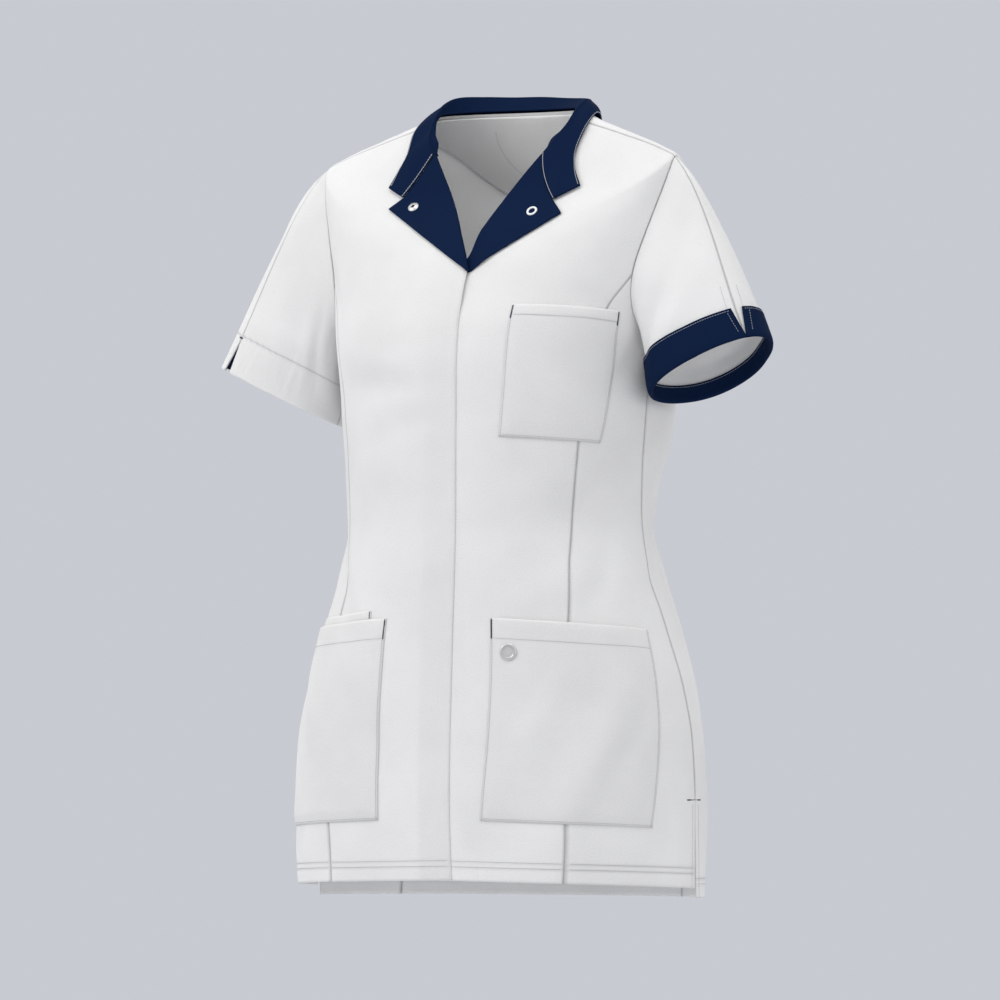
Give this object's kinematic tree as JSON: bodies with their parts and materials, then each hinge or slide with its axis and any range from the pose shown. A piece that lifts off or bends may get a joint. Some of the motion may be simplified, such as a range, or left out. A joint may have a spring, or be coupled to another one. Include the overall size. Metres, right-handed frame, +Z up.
{
  "type": "work tunic",
  "caption": "Short-sleeved work tunic, filled out as worn: notch collar and turned-out facings, patch pockets, side slits and a turned-up cuff.",
  "frame": {"origin": "midway between the shoulders, level with the side points of the neck, where the wearer's shoulders hold the tunic", "axes": "+Z up, the front faces -Y, +X is the wearer's left"},
  "size_m": [0.6155, 0.2834, 0.8068],
  "materials": {
    "white_cloth": "matt, smooth twill",
    "navy_cloth": "matt, smooth twill",
    "steel": "satin",
    "white_plastic": "satin"
  },
  "bodies": {
    "root": {"front_right": "white_cloth", "front_left": "white_cloth", "front_side_right": "white_cloth", "front_side_left": "white_cloth", "back_centre": "white_cloth", "back_side_right": "white_cloth", "back_side_left": "white_cloth", "neck_facing_back": "white_cloth", "sleeve_front_right": "white_cloth", "sleeve_back_right": "white_cloth", "sleeve_front_left": "white_cloth", "sleeve_back_left": "white_cloth", "chest_pocket": "white_cloth", "hip_pocket_left": "white_cloth", "hip_pocket_right": "white_cloth", "inner_pocket_right": "white_cloth", "collar": "navy_cloth", "lapel_right": "navy_cloth", "lapel_left": "navy_cloth", "cuff_left": "navy_cloth", "hem_facing_right": "navy_cloth", "snap_socket_right": "steel", "snap_ring_left": "white_plastic", "pocket_disc": "steel"}
  },
  "joints": []
}
